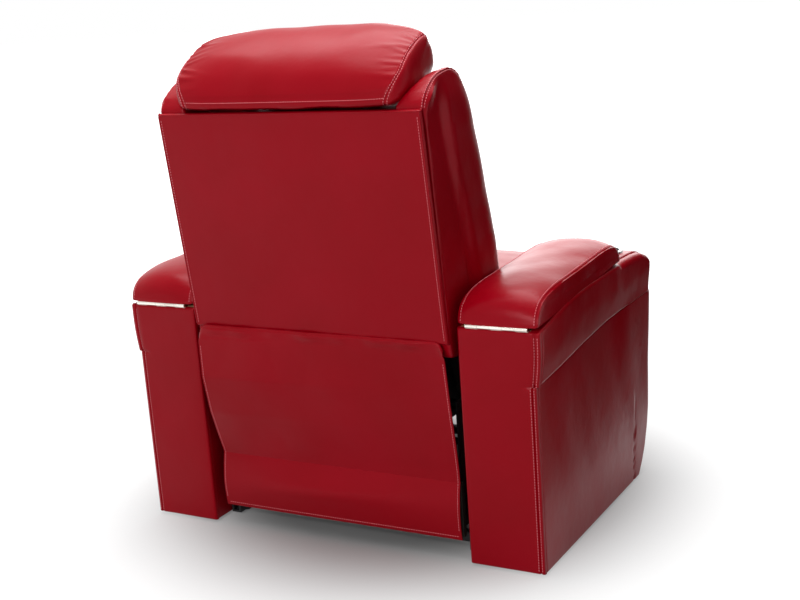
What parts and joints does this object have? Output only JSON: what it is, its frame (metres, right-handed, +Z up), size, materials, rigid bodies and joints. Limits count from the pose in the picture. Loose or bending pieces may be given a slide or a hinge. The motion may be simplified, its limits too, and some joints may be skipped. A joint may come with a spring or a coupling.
{
  "type": "cinema recliner seat",
  "caption": "Powered cinema recliner with padded storage armrests, hinged armrest lids, cup holders, tilting headrest, reclining back and a linkage footrest.",
  "frame": {"origin": "middle of the floor under the seat, half way between the headrest's rear and the footrest's front, at floor level", "axes": "+Z up, the sitter faces -Y, +X is the sitter's left"},
  "size_m": [0.98, 0.828, 1.0811],
  "materials": {
    "red_leather": "smooth, glossy",
    "seat_leather": "smooth, glossy",
    "plywood": "raw",
    "mechanism_steel": "satin black",
    "zinc_steel": "bright zinc",
    "hinge_nickel": "satin nickel",
    "spring_steel": "oiled",
    "black_plastic": "fine grain",
    "bin_plastic": "fine grain",
    "cup_steel": "brushed",
    "panel_plastic": "gloss",
    "button_chrome": "polished",
    "actuator_paint": "satin",
    "glide_nylon": "moulded"
  },
  "bodies": {
    "base": {"base_side_rails": "mechanism_steel", "base_cross_tubes": "mechanism_steel", "floor_glides": "glide_nylon", "arm_mounting_blocks": "mechanism_steel", "power_adapter": "black_plastic", "arm_side_boards": "plywood", "arm_end_boards": "plywood", "arm_storage_bins": "bin_plastic", "arm_front_pads": "red_leather", "cup_holders": "cup_steel", "control_panel": "panel_plastic", "arm_lower_side_pads": "red_leather", "arm_upper_side_pads": "red_leather", "arm_rear_pads": "red_leather", "arm_inner_pads": "red_leather", "hinge_lower_leaves": "hinge_nickel", "hinge_pins": "hinge_nickel"},
    "left_lid": {"lid_left_board": "plywood", "lid_left_cushion": "red_leather", "lid_left_hinge_leaf": "hinge_nickel"},
    "right_lid": {"lid_right_board": "plywood", "lid_right_cushion": "red_leather", "lid_right_hinge_leaf": "hinge_nickel"},
    "seat": {"seat_side_plates": "mechanism_steel", "seat_cross_bars": "mechanism_steel", "seat_guide_blocks": "glide_nylon", "seat_frame": "plywood", "seat_springs": "spring_steel", "seat_cushion": "seat_leather", "rear_skirt": "red_leather", "rear_crank_rivets": "zinc_steel", "footrest_actuator": "actuator_paint", "recline_actuator": "actuator_paint"},
    "back": {"outside_back_panel": "red_leather", "back_frame": "plywood", "lumbar_cushion": "seat_leather", "upper_back_cushion": "seat_leather", "back_wings": "seat_leather", "back_brackets": "mechanism_steel", "back_pivot_tube": "mechanism_steel", "headrest_hinge": "mechanism_steel", "headrest_motor": "black_plastic"},
    "headrest": {"headrest_cushion": "seat_leather", "headrest_frame": "mechanism_steel", "headrest_pivot_rod": "zinc_steel"},
    "front_cranks": {"footrest_drive_tube": "mechanism_steel"},
    "rear_cranks": {"footrest_rear_cranks": "mechanism_steel"},
    "couplers": {"footrest_couplers": "mechanism_steel", "coupler_rivets": "zinc_steel"},
    "drag_links": {"footrest_drag_links": "mechanism_steel", "drag_link_rivets": "zinc_steel"},
    "footrest": {"footrest_brackets": "mechanism_steel", "footrest_board": "plywood", "footrest_pad": "seat_leather"},
    "footrest_drive": {"footrest_actuator_rod": "zinc_steel"},
    "recline_drive": {"recline_actuator_rod": "zinc_steel"},
    "recline_switch": {"recline_button": "button_chrome"},
    "upright_switch": {"upright_button": "button_chrome"},
    "headrest_forward_switch": {"headrest_forward_button": "button_chrome"},
    "headrest_back_switch": {"headrest_back_button": "button_chrome"}
  },
  "joints": [
    {"name": "left_lid_hinge", "type": "hinge", "parent": "base", "child": "left_lid", "pos_m": [0.404, 0.3459, 0.5033], "axis": [-1, 0, 0], "range_deg": [0, 80]},
    {"name": "right_lid_hinge", "type": "hinge", "parent": "base", "child": "right_lid", "pos_m": [-0.404, 0.3459, 0.5033], "axis": [-1, 0, 0], "range_deg": [0, 80]},
    {"name": "back_recline", "type": "hinge", "parent": "seat", "child": "back", "pos_m": [0, 0.234, 0.3], "axis": [-1, 0, 0], "range_deg": [0, 38], "deforming": ["rear_skirt"]},
    {"name": "seat_glide", "type": "slide", "parent": "base", "child": "seat", "axis": [0, -1, 0], "range_m": [0, 0.0701]},
    {"name": "headrest_tilt", "type": "hinge", "parent": "back", "child": "headrest", "pos_m": [0, 0.244, 0.905], "axis": [1, 0, 0], "range_deg": [0, 45]},
    {"name": "footrest_lift", "type": "hinge", "parent": "seat", "child": "front_cranks", "pos_m": [0, -0.156, 0.31], "axis": [-1, 0, 0], "range_deg": [0, 95]},
    {"name": "rear_crank_pivot", "type": "hinge", "parent": "seat", "child": "rear_cranks", "pos_m": [0, -0.036, 0.31], "axis": [-1, 0, 0], "range_deg": [0, 95]},
    {"name": "coupler_pivot", "type": "hinge", "parent": "front_cranks", "child": "couplers", "pos_m": [0, -0.00397, 0.15797], "axis": [-1, 0, 0], "range_deg": [-95, 0]},
    {"name": "footrest_pivot", "type": "hinge", "parent": "couplers", "child": "footrest", "pos_m": [0, -0.324, 0.35], "axis": [-1, 0, 0], "range_deg": [0, 95]},
    {"name": "drag_link_pivot", "type": "hinge", "parent": "front_cranks", "child": "drag_links", "pos_m": [0, 0.01023, 0.11003], "axis": [-1, 0, 0], "range_deg": [-95, 0]},
    {"name": "footrest_drive_stroke", "type": "slide", "parent": "seat", "child": "footrest_drive", "axis": [0, -1, 0], "range_m": [0, 0.0811]},
    {"name": "recline_drive_stroke", "type": "slide", "parent": "seat", "child": "recline_drive", "axis": [0, -1, 0], "range_m": [0, 0.0326]},
    {"name": "recline_press", "type": "slide", "parent": "base", "child": "recline_switch", "axis": [0, 0, -1], "range_m": [0, 0.0015], "stiffness_N_per_m": 800, "springref_m": -0.0008},
    {"name": "upright_press", "type": "slide", "parent": "base", "child": "upright_switch", "axis": [0, 0, -1], "range_m": [0, 0.0015], "stiffness_N_per_m": 800, "springref_m": -0.0008},
    {"name": "headrest_forward_press", "type": "slide", "parent": "base", "child": "headrest_forward_switch", "axis": [0, 0, -1], "range_m": [0, 0.0015], "stiffness_N_per_m": 800, "springref_m": -0.0008},
    {"name": "headrest_back_press", "type": "slide", "parent": "base", "child": "headrest_back_switch", "axis": [0, 0, -1], "range_m": [0, 0.0015], "stiffness_N_per_m": 800, "springref_m": -0.0008}
  ],
  "couplings": [
    {"joint": "seat_glide", "follows": "back_recline", "m_per_rad": 0.10554},
    {"joint": "recline_drive_stroke", "follows": "back_recline", "m_per_rad": 0.049089},
    {"joint": "rear_crank_pivot", "follows": "footrest_lift", "ratio": 1},
    {"joint": "coupler_pivot", "follows": "footrest_lift", "ratio": -1},
    {"joint": "footrest_pivot", "follows": "footrest_lift", "ratio": 1},
    {"joint": "drag_link_pivot", "follows": "footrest_lift", "ratio": -1},
    {"joint": "footrest_drive_stroke", "follows": "footrest_lift", "m_per_rad": 0.048866}
  ]
}
